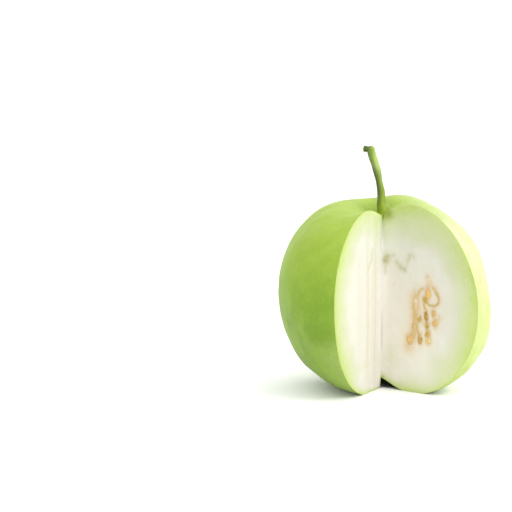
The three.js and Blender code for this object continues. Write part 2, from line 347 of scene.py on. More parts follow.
def ripples(points, size, seed):
    """Smooth random relief, mostly within -1.5 and 1.5, with bumps about as wide as size."""
    rng = np.random.default_rng(seed)
    directions = rng.normal(size=(RIPPLE_WAVES, 3))
    directions /= np.linalg.norm(directions, axis=1)[:, None]
    lengths = size * rng.uniform(1.2, 3.2, RIPPLE_WAVES)
    phases = rng.uniform(0, 2 * math.pi, RIPPLE_WAVES)
    angle = points @ (directions * (2 * math.pi / lengths)[:, None]).T + phases
    return np.cos(angle).sum(-1) / math.sqrt(RIPPLE_WAVES)


def on_right_face(along, height, depth=0.0):
    """A place on the right cut face, pushed into the flesh by the depth."""
    inwards = CUT_RIGHT + math.pi / 2
    x = along * math.cos(CUT_RIGHT) + depth * math.cos(inwards)
    y = along * math.sin(CUT_RIGHT) + depth * math.sin(inwards)
    return np.array([x, y, height])


def curve_points(points, count):
    """A smooth curve through the points, in equal steps."""
    points = np.asarray(points, float)
    padded = np.vstack([2 * points[0] - points[1], points, 2 * points[-1] - points[-2]])
    t = np.linspace(0, 1, CURVE_STEPS, endpoint=False)[:, None]
    fine = []
    for a, b, c, d in zip(padded, padded[1:], padded[2:], padded[3:]):
        bend = 2 * a - 5 * b + 4 * c - d
        twist = 3 * b - a - 3 * c + d
        fine.append(b + 0.5 * ((c - a) * t + bend * t**2 + twist * t**3))
    fine = np.vstack([*fine, points[-1:]])
    travelled = np.concatenate([[0], np.cumsum(np.linalg.norm(np.diff(fine, axis=0), axis=1))])
    even = np.linspace(0, travelled[-1], count)
    return np.stack([np.interp(even, travelled, fine[:, i]) for i in range(3)], -1)


def distance_to_line(points, line):
    """How far each 2-D point is from the nearest place of a line of points."""
    best = np.full(len(points), np.inf)
    for a, b in zip(line, line[1:]):
        edge = b - a
        share = np.clip(((points - a) @ edge) / max(edge @ edge, TINY), 0, 1)
        best = np.minimum(best, np.linalg.norm(points - (a + share[:, None] * edge), axis=1))
    return best


def grid_faces(rows, columns, flipped=False):
    """The quads of a grid of points that is listed row by row."""
    row, column = np.meshgrid(np.arange(rows), np.arange(columns), indexing="ij")
    a = (row * (columns + 1) + column).ravel()
    quads = np.stack([a, a + 1, a + columns + 2, a + columns + 1], -1)
    return quads[:, ::-1] if flipped else quads


def build_object(name, points, faces, materials, face_materials=None, attributes=None, sharp=None):
    """A closed mesh object at CORE, with its doubled vertices welded."""
    mesh = bpy.data.meshes.new(name)
    mesh.from_pydata((np.asarray(points) + CORE).tolist(), [], [list(map(int, f)) for f in faces])
    for material in materials:
        mesh.materials.append(material)
    if face_materials is not None:
        mesh.polygons.foreach_set("material_index", np.asarray(face_materials, np.int32))
    for key, values in (attributes or {}).items():
        layer = mesh.attributes.new(key, "FLOAT", "POINT")
        layer.data.foreach_set("value", np.asarray(values, np.float32))
    work = bmesh.new()
    work.from_mesh(mesh)
    bmesh.ops.remove_doubles(work, verts=work.verts, dist=WELD)
    bmesh.ops.dissolve_degenerate(work, dist=WELD, edges=work.edges)
    bmesh.ops.recalc_face_normals(work, faces=work.faces)
    work.to_mesh(mesh)
    work.free()
    mesh.polygons.foreach_set("use_smooth", np.ones(len(mesh.polygons), bool))
    if sharp is not None:
        mesh.set_sharp_from_angle(angle=sharp)
    mesh.update()
    piece = bpy.data.objects.new(name, mesh)
    bpy.context.scene.collection.objects.link(piece)
    return piece


class Nodes:
    """A material's node tree with short ways to add to it."""

    def __init__(self, name):
        self.material = bpy.data.materials.new(name)
        self.material.use_nodes = True
        self.tree = self.material.node_tree
        self.shader = self.tree.nodes["Principled BSDF"]

    def add(self, kind, **settings):
        node = self.tree.nodes.new(kind)
        for key, value in settings.items():
            setattr(node, key, value)
        return node

    def link(self, output, socket):
        self.tree.links.new(output, socket)

    def attribute(self, name):
        return self.add("ShaderNodeAttribute", attribute_name=name).outputs["Fac"]

    def place(self, scale=(1, 1, 1)):
        """Object coordinates in millimetres, times a scale."""
        mapping = self.add("ShaderNodeMapping")
        mapping.inputs["Scale"].default_value = [s / MM for s in scale]
        self.link(self.add("ShaderNodeTexCoord").outputs["Object"], mapping.inputs["Vector"])
        return mapping.outputs["Vector"]

    def noise(self, vector, size, detail, roughness=0.5):
        """Noise from 0 to 1 with bumps of this size in millimetres."""
        node = self.add("ShaderNodeTexNoise")
        node.inputs["Scale"].default_value = 1 / size
        node.inputs["Detail"].default_value = detail
        node.inputs["Roughness"].default_value = roughness
        self.link(vector, node.inputs["Vector"])
        return node.outputs["Fac"]

    def ramp(self, factor, *stops):
        node = self.add("ShaderNodeValToRGB")
        elements = node.color_ramp.elements
        while len(elements) < len(stops):
            elements.new(1)
        for element, (position, color) in zip(elements, stops):
            element.position = position
            element.color = (*color, 1)
        self.link(factor, node.inputs["Fac"])
        return node.outputs["Color"]

    def span(self, factor, low, high, start=0.0, end=1.0):
        """Start to end while the factor goes from low to high."""
        node = self.add("ShaderNodeMapRange")
        for key, value in (("From Min", low), ("From Max", high), ("To Min", start), ("To Max", end)):
            node.inputs[key].default_value = value
        self.link(factor, node.inputs["Value"])
        return node.outputs["Result"]

    def math(self, operation, first, second):
        node = self.add("ShaderNodeMath", operation=operation)
        for socket, value in zip(node.inputs, (first, second)):
            if isinstance(value, (int, float)):
                socket.default_value = value
            else:
                self.link(value, socket)
        return node.outputs["Value"]

    def clamped(self, operation, first, second):
        value = self.math(operation, first, second)
        value.node.use_clamp = True
        return value

    def mix(self, factor, first, second):
        node = self.add("ShaderNodeMix", data_type="RGBA")
        self.set(node.inputs[MIX_FACTOR], factor)
        self.set(node.inputs[MIX_FIRST], first)
        self.set(node.inputs[MIX_SECOND], second)
        return node.outputs[MIX_RESULT]

    def set(self, socket, value):
        if isinstance(value, (int, float)):
            socket.default_value = value
        elif isinstance(value, tuple):
            socket.default_value = (*value, 1)
        else:
            self.link(value, socket)

    def bump(self, height, strength, distance):
        node = self.add("ShaderNodeBump")
        node.inputs["Strength"].default_value = strength
        node.inputs["Distance"].default_value = distance
        self.link(height, node.inputs["Height"])
        self.link(node.outputs["Normal"], self.shader.inputs["Normal"])

    def finish(self, color, roughness, **fixed):
        self.link(color, self.shader.inputs["Base Color"])
        self.set(self.shader.inputs["Roughness"], roughness)
        for key, value in fixed.items():
            self.shader.inputs[key.replace("_", " ")].default_value = value
        return self.material


def shown(red, green, blue):
    """The base colour that shows as about these sRGB bytes under the scene's light."""
    linear = [((byte / 255 + 0.055) / 1.055) ** 2.4 for byte in (red, green, blue)]
    return tuple(min(amount / SURFACE_LIGHT, MOST_REFLECTED) for amount in linear)


def skin_material():
    n = Nodes("guava_skin")
    place = n.place()
    height = n.attribute("height")
    green = n.ramp(
        height,
        (0.0, shown(122, 152, 62)), (0.12, shown(126, 158, 56)), (0.38, shown(122, 156, 48)),
        (0.56, shown(132, 166, 50)), (0.72, shown(146, 176, 56)), (0.88, shown(158, 186, 66)),
        (1.0, shown(172, 195, 93)),
    )
    # paler skin: on the right side partly its own paler tone and partly painted light; beside the left
    # cut paler too
    pale = n.ramp(
        height,
        (0.0, shown(188, 206, 120)), (0.25, shown(199, 213, 138)), (0.75, shown(202, 213, 150)),
        (1.0, shown(203, 211, 163)),
    )
    drift = n.span(n.noise(place, 14, detail=2), 0.3, 0.7, -0.08, 0.08)
    base = n.mix(n.clamped("ADD", n.attribute("pale"), drift), green, pale)
    blotches = n.span(n.noise(place, 8, detail=3, roughness=0.55), 0.4, 0.68)
    base = n.mix(n.math("MULTIPLY", blotches, 0.24), base, shown(170, 196, 82))
    darker = n.span(n.noise(n.place((1, 1, 0.3)), 4, detail=4, roughness=0.6), 0.5, 0.8)
    base = n.mix(n.math("MULTIPLY", darker, 0.24), base, shown(110, 140, 38))
    specks = n.span(n.noise(place, 1.1, detail=1), 0.60, 0.76)
    base = n.mix(n.math("MULTIPLY", specks, 0.15), base, shown(188, 208, 106))
    dots = n.span(n.noise(place, 0.7, detail=0), 0.66, 0.76)
    base = n.mix(n.math("MULTIPLY", dots, 0.2), base, shown(102, 128, 42))
    foot = n.math("MAXIMUM", n.attribute("foot"), n.attribute("flush"))
    base = n.mix(foot, base, shown(136, 156, 46))
    # the blossom end: dark brown skin, deepened by painted shade in the hollow underneath
    base = n.mix(n.attribute("blossom"), base, shown(36, 28, 14))
    n.bump(n.noise(place, 0.9, detail=4, roughness=0.6), strength=0.14, distance=0.15 * MM)
    roughness = n.span(n.noise(place, 3, detail=3), 0.3, 0.7, 0.48, 0.60)
    return n.finish(
        base, roughness,
        Subsurface_Weight=0.25, Subsurface_Radius=(1.0, 1.0, 0.35), Subsurface_Scale=2 * MM,
        Specular_IOR_Level=0.14,
    )


def flesh_material():
    n = Nodes("guava_flesh")
    place = n.place()
    color = n.ramp(
        n.attribute("rind"),
        (0.0, shown(174, 194, 86)), (0.025, shown(187, 207, 104)), (0.12, shown(196, 215, 120)),
        (0.36, shown(208, 219, 158)), (0.7, shown(221, 224, 194)), (1.0, shown(233, 231, 219)),
    )
    # near the core: partly the core's own warm beige, partly painted light that lifts the shade in the
    # groove between the cuts
    near_core = n.span(n.attribute("core"), 0, 1, 0.65, 0)
    inside = n.span(n.attribute("rind"), 0.15, 0.9)
    warm = n.mix(n.span(n.attribute("height"), 0.58, 0.76), shown(248, 240, 228), shown(236, 239, 224))
    color = n.mix(n.math("MULTIPLY", near_core, inside), color, warm)
    # painted light along the core line, lifting the shade where the two cut faces meet
    core_line_light = n.span(n.attribute("core"), 0, 0.18, 0.9, 0)
    core_line_light = n.math("MULTIPLY", core_line_light, n.span(n.attribute("height"), 0.58, 0.76, 1, 0.25))
    core_line_light = n.math("MAXIMUM", core_line_light, n.span(n.attribute("core"), 0, 0.06, 1, 0))
    color = n.mix(n.math("MULTIPLY", core_line_light, inside), color, shown(255, 252, 244))
    fibre = n.span(n.noise(place, 1.6, detail=5, roughness=0.65), 0.3, 0.7, 0.0, 0.14)
    color = n.mix(fibre, color, shown(238, 237, 228))
    clouds = n.span(n.noise(place, 5, detail=3, roughness=0.6), 0.45, 0.75, 0, 0.22)
    color = n.mix(clouds, color, shown(220, 221, 196))
    pulp = n.span(n.noise(place, 1.4, detail=4, roughness=0.6), 0.3, 0.7, 0.7, 1.1)
    color = n.mix(n.clamped("MULTIPLY", n.attribute("halo"), pulp), color, shown(234, 214, 186))
    color = n.mix(n.clamped("MULTIPLY", n.attribute("stain"), pulp), color, shown(214, 182, 122))
    patchy = n.span(n.noise(place, 1.1, detail=2), 0.35, 0.6, 0.7, 1.1)
    color = n.mix(n.clamped("MULTIPLY", n.attribute("vein"), patchy), color, shown(186, 184, 118))
    # painted shade along the knife's ridges on the left cut face
    color = n.mix(n.attribute("ridge_shade"), color, shown(212, 209, 178))
    color = n.mix(n.attribute("foot"), color, shown(140, 158, 54))
    # painted shade on the cut faces, mixed towards black
    color = n.mix(n.attribute("shade"), color, (0.0, 0.0, 0.0))
    n.bump(n.noise(place, 0.5, detail=5, roughness=0.65), strength=0.2, distance=0.2 * MM)
    roughness = n.span(n.noise(place, 2, detail=4), 0.3, 0.7, 0.36, 0.52)
    return n.finish(
        color, roughness,
        Subsurface_Weight=0.3, Subsurface_Radius=(1.0, 0.95, 0.8), Subsurface_Scale=2 * MM,
        Specular_IOR_Level=0.25,
    )


def stem_material():
    n = Nodes("guava_stem")
    streaks = n.noise(n.place((1, 1, 0.12)), 0.7, detail=4, roughness=0.6)
    # the light stop at 0.72 is a painted highlight on the stalk's upper part
    color = n.ramp(
        n.attribute("along"),
        (0.0, shown(152, 176, 38)), (0.22, shown(146, 170, 42)), (0.4, shown(136, 156, 56)),
        (0.6, shown(144, 168, 70)), (0.72, shown(190, 212, 126)), (0.82, shown(170, 196, 94)),
        (1.0, shown(154, 182, 76)),
    )
    color = n.mix(n.span(streaks, 0.4, 0.72, 0, 0.5), color, shown(88, 104, 44))
    # painted shade down the stalk's left side
    color = n.mix(n.attribute("side"), color, shown(72, 88, 28))
    color = n.mix(n.attribute("cut"), color, shown(72, 98, 26))
    n.bump(streaks, strength=0.4, distance=0.2 * MM)
    return n.finish(
        color, roughness=0.36,
        Subsurface_Weight=0.1, Subsurface_Scale=1 * MM, Specular_IOR_Level=0.22,
    )


def calyx_material():
    n = Nodes("dried_calyx")
    grain = n.noise(n.place(), 0.7, detail=5, roughness=0.65)
    # near-black dried sepals, darker than their own brown as painted shade deep in the hollow
    color = n.ramp(
        grain,
        (0.3, (0.003, 0.002, 0.001)), (0.55, (0.007, 0.005, 0.003)), (0.75, (0.03, 0.021, 0.01)),
    )
    n.bump(grain, strength=0.6, distance=0.3 * MM)
    return n.finish(color, roughness=0.9, Specular_IOR_Level=0.04)


def seed_material():
    n = Nodes("seed_coat")
    color = n.ramp(
        n.attribute("tint"),
        (0.0, shown(172, 130, 42)), (0.2, shown(184, 156, 56)), (0.4, shown(204, 162, 76)),
        (0.75, shown(228, 180, 92)), (1.0, shown(230, 210, 138)),
    )
    grain = n.noise(n.place(), 1.1, detail=5, roughness=0.6)
    color = n.mix(n.span(grain, 0.45, 0.68, 0, 0.6), color, shown(220, 196, 146))
    color = n.mix(n.span(grain, 0.28, 0.42, 0.35, 0), color, shown(166, 126, 50))
    n.bump(grain, strength=0.35, distance=0.15 * MM)
    return n.finish(
        color, roughness=0.38,
        Subsurface_Weight=0.15, Subsurface_Scale=1 * MM, Specular_IOR_Level=0.5,
    )


def pulp_material():
    n = Nodes("seed_band_pulp")
    grain = n.noise(n.place(), 1.1, detail=5, roughness=0.6)
    color = n.ramp(
        grain,
        (0.3, shown(200, 160, 88)), (0.45, shown(211, 172, 102)), (0.6, shown(220, 188, 126)),
        (0.75, shown(230, 208, 160)),
    )
    color = n.mix(n.attribute("olive"), color, shown(186, 158, 72))
    color = n.mix(n.attribute("pale"), color, shown(232, 220, 190))
    n.bump(grain, strength=0.35, distance=0.2 * MM)
    return n.finish(
        color, roughness=0.42,
        Subsurface_Weight=0.3, Subsurface_Radius=(1.0, 0.8, 0.45), Subsurface_Scale=1.5 * MM,
    )


def floor_material():
    n = Nodes("pale_floor")
    grain = n.noise(n.place(), 40, detail=2)
    color = n.ramp(grain, (0.3, (0.96, 0.96, 0.96)), (0.7, (0.985, 0.985, 0.985)))
    return n.finish(color, roughness=0.7, Specular_IOR_Level=0.1)


def face_relief(left, along, height, points):
    """How far a cut face stands proud of its plane, from its grain and the knife."""
    fine = FACE_GRAIN * ripples(points, 1.2 * MM, seed=11)
    broad = FACE_SWELLING * ripples(points, 7 * MM, seed=12)
    if left:
        lines = along + 0.4 * MM * np.sin(height / (16 * MM))
        step = FACE_STEP * (1 - smooth(lines, 3 * MM, 5 * MM)) * smooth(along, 0, 1.2 * MM)
        ridges = RIDGES * np.cos(lines / RIDGE_WAVE) * smooth(lines, 4 * MM, 6 * MM)
        ridges = ridges * (1 - smooth(lines, 11 * MM, 16 * MM))
        return fine + broad + step + ridges
    slanted = along + 0.3 * height
    marks = MARKS * np.cos(slanted / MARK_WAVE) * (1 - smooth(along, 24 * MM, 34 * MM))
    return fine + broad + marks


def knife_ridge_shade(along, height):
    """How strong the painted shade is along the ridges that the knife left down the left cut face."""
    lines = along + 0.5 * MM * np.sin(height / (14 * MM))
    streaks = np.zeros(len(along))
    for middle, width, strength in RIDGE_SHADE_LINES:
        away = (lines - middle * MM) / (width * MM)
        streaks = np.maximum(streaks, strength * np.exp(-(away**2)))
    return streaks * smooth(height, 4 * MM, 16 * MM) * (1 - smooth(height, 52 * MM, 64 * MM))


def seed_lines():
    """Each strand as (radius, its curve on the face as points from the core and up)."""
    lines = []
    for radius, *points in STRANDS:
        flat = np.array([(a * MM, h * MM, 0) for a, h in points])
        lines.append((radius * MM, curve_points(flat, STAIN_STEPS)[:, :2]))
    return lines


def face_stain(places):
    """How tan the flesh is at the seed band, the strands and the seeds, and how warm round them."""
    stain = np.zeros(len(places))
    halo = np.zeros(len(places))
    for (radius, line), pale in zip(seed_lines(), STRAND_PALENESS):
        away = distance_to_line(places, line)
        near = np.exp(-((away / (radius + STAIN_REACH)) ** 2))
        wide = np.exp(-((away / (radius + HALO_REACH)) ** 2))
        band = radius > BAND_RADIUS
        stain = np.maximum(stain, (BAND_STAIN if band else STRAND_STAIN * (1 - pale)) * near)
        halo = np.maximum(halo, (BAND_HALO if band else STRAND_HALO) * wide)
    for along, height, length, width, *_ in SEEDS:
        away = (places - np.array([along, height]) * MM) / (np.array([width, length]) * MM)
        share = np.hypot(away[:, 0], away[:, 1])
        stain = np.maximum(stain, SEED_STAIN * np.exp(-((share / SEED_STAIN_SHARE) ** 4)))
        halo = np.maximum(halo, SEED_HALO * np.exp(-((share / SEED_HALO_SHARE) ** 2)))
    stain = stain * (LOW_STAIN + (1 - LOW_STAIN) * smooth(places[:, 1], 17 * MM, 20 * MM))
    smudge = np.exp(-(((places - TAIL) / TAIL_REACH) ** 2).sum(-1))
    return np.maximum(stain, TAIL_STAIN * smudge), np.maximum(halo, TAIL_HALO * smudge)


def vein_marks(places, veins):
    """How strongly the veins that the cut crossed show at each place of a face."""
    marks = np.zeros(len(places))
    for width, strength, *points in veins:
        line = np.array(points) * MM
        away = distance_to_line(places, line) / (width * MM)
        marks = np.maximum(marks, strength * np.exp(-(away**2)))
    return marks


def shared_values(points):
    """What is worked out alike for the skin and the cut faces, by place."""
    x, y, z = points.T
    out = np.hypot(x, y)
    from_foot = np.linalg.norm(points - STEM_LINE[1], axis=1) / FOOT_REACH
    from_spread = np.linalg.norm(points - SPREAD, axis=1) / SPREAD_REACH
    from_flush = np.linalg.norm(points - FLUSH, axis=1) / FLUSH_REACH
    foot = FOOT_TINT * np.exp(-(from_foot**4))
    spread = SPREAD_TINT * np.exp(-(from_spread**2))
    # paler right side: partly the skin's own paler side, partly painted light on the side that faces
    # the lamps
    pale_and_lit_right = smooth(x - 0.25 * y + 0.4 * np.maximum(z - 50 * MM, 0), 6 * MM, 40 * MM)
    from_left_cut = (y * math.cos(CUT_LEFT) - x * math.sin(CUT_LEFT)) / LEFT_CUT_REACH
    near_left_cut = np.exp(-(from_left_cut**2)) * (1 - smooth(z, 16 * MM, 34 * MM))
    in_basin = out / basin_width(np.arctan2(y, x)) / BLOSSOM_SHARE
    under = 1 - smooth(z, 3 * MM, 6 * MM)
    return {
        "core": np.clip(out / CORE_REACH, 0, 1),
        "height": z / TOP_Z,
        "pale": pale_and_lit_right + LEFT_CUT_PALENESS * near_left_cut,
        "foot": np.maximum(foot, spread),
        "flush": FLUSH_TINT * np.exp(-(from_flush**2)),
        # the blossom end's dark brown, deepened by painted shade in the hollow
        "blossom": BLOSSOM_BROWN_AND_SHADE * under * np.exp(-(in_basin**4)),
    }


def rind_share(left, along, height, from_skin, points):
    """How far from the rind's green, 0, to the inner flesh's white, 1, each point of a face is."""
    high = smooth(height, 46 * MM, 66 * MM) * smooth(along, 2 * MM, 14 * MM)
    low = 1 - smooth(height, 3 * MM, 14 * MM)
    lowest = low * (1 - 0.7 * smooth(along, 4 * MM, 16 * MM))
    if left:
        deeper, thinner = -0.1, 0.7
        paler = 0.16 * smooth(height, 56 * MM, 70 * MM)
    else:
        deeper, thinner = 0.5, 0.45
        near_end = 1 - smooth(height, 9 * MM, 18 * MM)
        paler = 0.24 * high * smooth(along, 12 * MM, 26 * MM)
        paler = paler + 0.2 * near_end * smooth(along, 14 * MM, 24 * MM)
    reach = RIND_REACH * (1 + deeper * high - thinner * low) * (1 - 0.6 * lowest)
    grain = 1 + 0.12 * ripples(points, 6 * MM, seed=21)
    share = np.clip(from_skin * grain / reach, 0, 1)
    return share + paler * (1 - share) * smooth(from_skin, 0, 0.8 * MM)


def face_shade(left, places):
    """How much painted shade dims each place of a face below its colour."""
    along, height = places.T
    if left:
        return LEFT_SHADE * smooth(along, 3 * MM, 14 * MM)
    shade = RIGHT_SHADE * smooth(height, 18 * MM, 56 * MM) * smooth(along, 1 * MM, 10 * MM)
    # painted shade: a darker patch of the right cut face beside the seeds
    from_shade_patch = (places - SHADE_PATCH_PLACE) / SHADE_PATCH_REACH
    return shade + SHADE_PATCH_STRENGTH * np.exp(-(from_shade_patch**2).sum(-1))


def cut_face(left, latitudes, outline):
    """One cut face as a grid from the core line to the skin, with what its material reads."""
    azimuth = CUT_LEFT if left else CUT_RIGHT
    outwards = np.array([math.cos(azimuth), math.sin(azimuth), 0])
    turn = math.pi / 2 if left else -math.pi / 2
    proud = np.array([math.cos(azimuth + turn), math.sin(azimuth + turn), 0])
    share = (latitudes + math.pi / 2) / math.pi
    core_z = outline[0, 2] + (outline[-1, 2] - outline[0, 2]) * share
    core = np.stack([np.zeros_like(core_z), np.zeros_like(core_z), core_z], -1)
    across = np.linspace(0, 1, FACE_COLUMNS + 1) ** FACE_CROWDING
    points = core[:, None] + (outline - core)[:, None] * across[None, :, None]
    flat = points.reshape(-1, 3)
    along = flat @ outwards
    height = flat[:, 2]
    places = np.stack([along, height], -1)
    rim = np.stack([outline @ outwards, outline[:, 2]], -1)
    from_skin = distance_to_line(places, rim)
    held = smooth(from_skin, 0, 1.5 * MM) * smooth(along, 0, 1 * MM)
    relief = face_relief(left, along, height, flat) * held
    none = np.zeros(len(places))
    stain, halo = (none, none) if left else face_stain(places)
    values = {
        **shared_values(flat),
        "rind": rind_share(left, along, height, from_skin, flat),
        "stain": stain,
        "halo": halo,
        "vein": vein_marks(places, LEFT_VEINS if left else RIGHT_VEINS),
        "ridge_shade": knife_ridge_shade(along, height) if left else none,
        "shade": face_shade(left, places),
    }
    return flat + relief[:, None] * proud, values


def build_fruit(skin, flesh):
    """The fruit as one closed mesh of its skin and both cut faces."""
    latitudes = even_latitudes(ROWS, CUT_LEFT)
    azimuths = np.linspace(CUT_RIGHT, CUT_LEFT, SKIN_COLUMNS + 1)
    latitude, azimuth = np.meshgrid(latitudes, azimuths, indexing="ij")
    shell = skin_points(latitude, azimuth)
    edges = ((False, shell[:, 0]), (True, shell[:, -1]))
    flat = shell.reshape(-1, 3)
    middle = np.array([0, 0, GIRTH_Z])
    outwards = (flat - middle) / np.linalg.norm(flat - middle, axis=1)[:, None]
    nearer_cut = np.minimum(azimuth - CUT_RIGHT, CUT_LEFT - azimuth).ravel()
    from_cuts = nearer_cut * np.hypot(flat[:, 0], flat[:, 1])
    held = smooth(from_cuts, 0, 4 * MM) * smooth(flat[:, 2], 0.5 * MM, 6 * MM)
    broad = SKIN_BROAD * ripples(flat, 9 * MM, seed=31)
    fine = SKIN_FINE * ripples(flat, 3.5 * MM, seed=32)
    zero = np.zeros(len(flat))
    skin_values = {**shared_values(flat), **{key: zero for key in FACE_KEYS}}
    points = [flat + ((broad + fine) * held)[:, None] * outwards]
    faces = [grid_faces(ROWS, SKIN_COLUMNS)]
    slots = [np.zeros(len(faces[0]), int)]
    values = [skin_values]
    for left, outline in edges:
        start = sum(len(p) for p in points)
        face_points, face_values = cut_face(left, latitudes, outline)
        points.append(face_points)
        faces.append(grid_faces(ROWS, FACE_COLUMNS, flipped=left) + start)
        slots.append(np.ones(len(faces[-1]), int))
        values.append(face_values)
    attributes = {key: np.concatenate([v[key] for v in values]) for key in skin_values}
    return build_object(
        "guava_fruit", np.vstack(points), np.vstack(faces), [skin, flesh],
        np.concatenate(slots), attributes, sharp=math.radians(50),
    )


def tube(line, radii, sides, ribs=None):
    """Points and faces of a closed bar along a line, and where each point stands along it."""
    tangents = np.gradient(line, axis=0)
    tangents /= np.linalg.norm(tangents, axis=1)[:, None]
    across = np.cross(tangents[0], (0, 1, 0) if abs(tangents[0][1]) < 0.9 else (1, 0, 0))
    points = []
    for tangent, middle, radius in zip(tangents, line, radii):
        across = across - tangent * (across @ tangent)
        across /= np.linalg.norm(across)
        other = np.cross(tangent, across)
        turn = np.linspace(0, 2 * math.pi, sides + 1)
        turn[-1] = 0
        ring = radius * (ribs(turn) if ribs else np.ones_like(turn))
        directions = np.cos(turn)[:, None] * across + np.sin(turn)[:, None] * other
        points.append(middle + ring[:, None] * directions)
    points = np.vstack([*points, line[:1], line[-1:]])
    steps = len(line) - 1
    first = (steps + 1) * (sides + 1)
    last = steps * (sides + 1)
    faces = [list(f) for f in grid_faces(steps, sides)]
    for side in range(sides):
        faces.append([first, side + 1, side])
        faces.append([first + 1, last + side, last + side + 1])
    along = np.concatenate([np.repeat(np.linspace(0, 1, steps + 1), sides + 1), [0, 1]])
    return points, faces, along


def join(parts):
    """Several (points, faces, values) as one."""
    points, faces, values, start = [], [], [], 0
    for part_points, part_faces, part_values in parts:
        points.append(part_points)
        faces.extend([[i + start for i in f] for f in part_faces])
        values.append(part_values)
        start += len(part_points)
    keys = values[0].keys()
    return np.vstack(points), faces, {key: np.concatenate([v[key] for v in values]) for key in keys}


def round_off(count, radius, length):
    """Shrinks the ends of a row of radii to round tips."""
    along = np.linspace(0, length, count)
    end = np.clip(np.minimum(along, length - along) / radius, 0, 1)
    return np.sqrt(np.maximum(1 - (1 - end) ** 2, 0.02))


def keep_out_of_wedge(points, proud):
    """Moves points that stand in the wedge gap to the nearer cut, this far proud of it."""
    sides = [CUT_RIGHT - math.pi / 2, CUT_LEFT + math.pi / 2]
    normals = np.array([[math.cos(side), math.sin(side), 0] for side in sides])
    beyond = points @ normals.T - proud
    nearer = beyond.argmin(axis=1)
    amount = np.maximum(beyond.min(axis=1), 0)
    return points - amount[:, None] * normals[nearer]


def five_ribbed(turn):
    return 1 + 0.04 * np.cos(5 * turn)


def four_ribbed(turn):
    return 1 + 0.05 * np.cos(4 * turn)


def stalk_part():
    """The stalk as points, faces and values, with painted shade down its left side."""
    line = curve_points(STEM_LINE, STEM_STEPS)
    place = np.linspace(0, 1, len(line))
    radii = np.interp(line[:, 2], STEM_RADII[:, 0], STEM_RADII[:, 1])
    radii = radii * np.sqrt(1 - 0.75 * smooth(place, 0.965, 1))
    points, faces, place = tube(line, radii, STEM_SIDES, five_ribbed)
    middle = np.interp(points[:, 2], line[:, 2], line[:, 0])
    thickness = np.interp(points[:, 2], line[:, 2], radii)
    # painted shade down the left side, weaker near the foot and towards the tip
    side = 1 - smooth((points[:, 0] - middle) / thickness, -0.95, 0.7)
    side = side * (0.1 + 0.85 * smooth(place, 0.12, 0.42) - 0.25 * smooth(place, 0.6, 0.85))
    relief = STEM_RELIEF * ripples(points, 1.5 * MM, seed=41)
    points = points + relief[:, None] * np.array([1, 1, 0])
    points = keep_out_of_wedge(points, STEM_PROUD)
    return points, faces, {"along": place, "side": side, "cut": 0.5 * smooth(place, 0.985, 1)}


def twig_part():
    """The cut stub of the side twig as points, faces and values."""
    line = curve_points(TWIG_LINE, TWIG_STEPS)
    share = np.linspace(0, 1, len(line))
    radii = TWIG_RADIUS + (TWIG_END_RADIUS - TWIG_RADIUS) * smooth(share, 0.2, 0.75)
    radii = radii * np.sqrt(1 - 0.6 * smooth(share, 0.93, 1))
    points, faces, place = tube(line, radii, TWIG_SIDES, four_ribbed)
    none = 0 * place
    return points, faces, {"along": none + 0.9, "side": none, "cut": smooth(place, 0.2, 0.5)}


def build_stem(material):
    points, faces, values = join([stalk_part(), twig_part()])
    return build_object(
        "guava_stem", points, faces, [material], attributes=values, sharp=math.radians(60),
    )


def hollow_roof(x, y):
    """Height of the skin over a place in the hollow underneath."""
    azimuth = np.arctan2(y, x)
    reach = np.hypot(x, y) / (1 + waves(azimuth, BELLY_LOBES))
    return skin_points(-np.arccos((reach / GIRTH) ** (1 / BELLY_FULLNESS)), azimuth)[..., 2]


def slab_faces(rows, columns):
    """Faces of a closed slab whose upper grid of points is followed by the lower one."""
    count = (rows + 1) * (columns + 1)
    faces = [list(f) for f in grid_faces(rows, columns, flipped=True)]
    faces += [list(f + count) for f in grid_faces(rows, columns)]
    grid = np.arange(count).reshape(rows + 1, columns + 1)
    for edge in (grid[0], grid[:, -1], grid[-1, ::-1], grid[::-1, 0]):
        for a, b in zip(edge, edge[1:]):
            faces.append([a, b, b + count, a + count])
    return faces


def build_calyx(material):
    """A lobed crown of dried sepals under the roof of the hollow, in the part that stays open."""
    start = CUT_RIGHT + CALYX_INSET
    end = CUT_LEFT - BASIN_CLOSING
    shares = np.linspace(0, 1, CALYX_ROWS + 1)
    turns = np.linspace(start, end, CALYX_COLUMNS + 1)
    share, turn = np.meshgrid(shares, turns, indexing="ij")
    lobe = np.abs(np.cos(CALYX_LOBES * turn / 2)) ** CALYX_BLUNTNESS
    distance = share * CALYX_REACH * basin_width(turn) * (1 - CALYX_NOTCH * (1 - lobe))
    x = distance * np.cos(turn)
    y = distance * np.sin(turn)
    top = hollow_roof(x, y) + CALYX_SUNK
    upper = np.stack([x, y, top], -1).reshape(-1, 3)
    rough = CALYX_ROUGHNESS * ripples(upper, 0.9 * MM, seed=51).reshape(x.shape)
    folds = CALYX_FOLDS * np.cos(CALYX_FOLD_COUNT * turn) * share
    thickness = CALYX_THICK + (CALYX_THIN - CALYX_THICK) * share
    low = np.maximum(top - thickness + (rough + folds) * smooth(share, 0, 0.2), CALYX_FLOOR)
    low = np.minimum(low, top - CALYX_LEAST)
    lower = np.stack([x, y, low], -1).reshape(-1, 3)
    faces = slab_faces(CALYX_ROWS, CALYX_COLUMNS)
    return build_object(
        "dried_calyx", np.vstack([upper, lower]), faces, [material], sharp=math.radians(45),
    )


